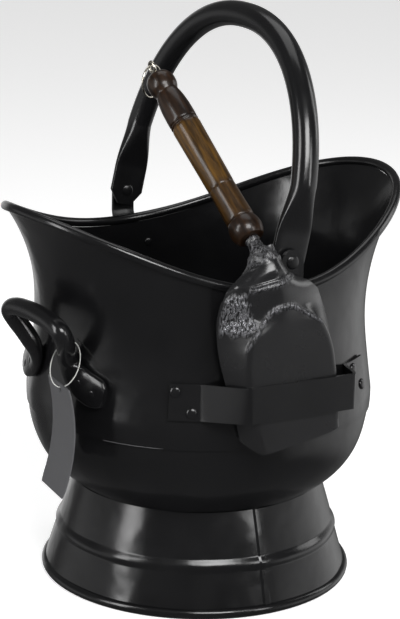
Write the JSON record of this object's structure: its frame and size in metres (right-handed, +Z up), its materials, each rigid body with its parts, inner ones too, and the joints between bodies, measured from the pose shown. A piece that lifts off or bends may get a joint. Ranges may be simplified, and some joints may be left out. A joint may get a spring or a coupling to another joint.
{
  "type": "coal scuttle",
  "caption": "Footed sheet-iron coal scuttle with two pouring lips, swinging bail, tipping handle, and a wooden-handled scoop standing in a strap bracket.",
  "frame": {"origin": "middle of the foot ring on the floor", "axes": "+X towards the front pouring lip, +Z up, the scoop on the -Y side"},
  "size_m": [0.3634, 0.326, 0.4976],
  "materials": {
    "satin_black_paint": "satin",
    "nickel_plate": "polished",
    "varnished_wood": "varnished",
    "tag_card": "matte",
    "nylon_loop": "gloss"
  },
  "bodies": {
    "scuttle": {"foot_skirt": "satin_black_paint", "foot_bead": "satin_black_paint", "lower_bowl": "satin_black_paint", "upper_shell": "satin_black_paint", "rim_bead": "satin_black_paint", "ear_left": "satin_black_paint", "ear_right": "satin_black_paint", "bail_pivot_left": "satin_black_paint", "bail_pivot_right": "satin_black_paint", "tipping_handle": "satin_black_paint", "scoop_bracket": "satin_black_paint", "ear_rivet_left_a": "satin_black_paint", "ear_rivet_left_b": "satin_black_paint", "tipping_rivet_left_low": "satin_black_paint", "tipping_rivet_left_high": "satin_black_paint", "bail_washer_left": "satin_black_paint", "ear_rivet_right_a": "satin_black_paint", "ear_rivet_right_b": "satin_black_paint", "tipping_rivet_right_low": "satin_black_paint", "tipping_rivet_right_high": "satin_black_paint", "bail_washer_right": "satin_black_paint", "bracket_rivet_back_high": "satin_black_paint", "bracket_rivet_back_low": "satin_black_paint", "bracket_rivet_front_high": "satin_black_paint", "bracket_rivet_front_low": "satin_black_paint", "tag_loop": "nylon_loop"},
    "bail": {"bail_tube": "satin_black_paint"},
    "scoop": {"scoop_blade": "satin_black_paint", "scoop_shank": "satin_black_paint", "scoop_grip": "varnished_wood", "grip_eye": "nickel_plate"},
    "ring": {"hanging_ring": "nickel_plate"},
    "tag": {"swing_tag": "tag_card"}
  },
  "joints": [
    {"name": "bail_swing", "type": "hinge", "parent": "scuttle", "child": "bail", "pos_m": [0, 0, 0.31], "axis": [0, 1, 0], "range_deg": [-15, 60]},
    {"name": "scoop_lift", "type": "slide", "parent": "scuttle", "child": "scoop", "axis": [-0.1771, 0, 0.9842], "range_m": [0, 0.055]},
    {"name": "ring_swing", "type": "hinge", "parent": "scoop", "child": "ring", "pos_m": [-0.04995, 0.00205, 0.44945], "axis": [0.891, 0.454, 0], "range_deg": [-8, 45]},
    {"name": "tag_swing", "type": "hinge", "parent": "scuttle", "child": "tag", "pos_m": [-0.164, -0.061, 0.202], "axis": [0.0958, 0.9954, 0], "range_deg": [-5, 45]}
  ]
}
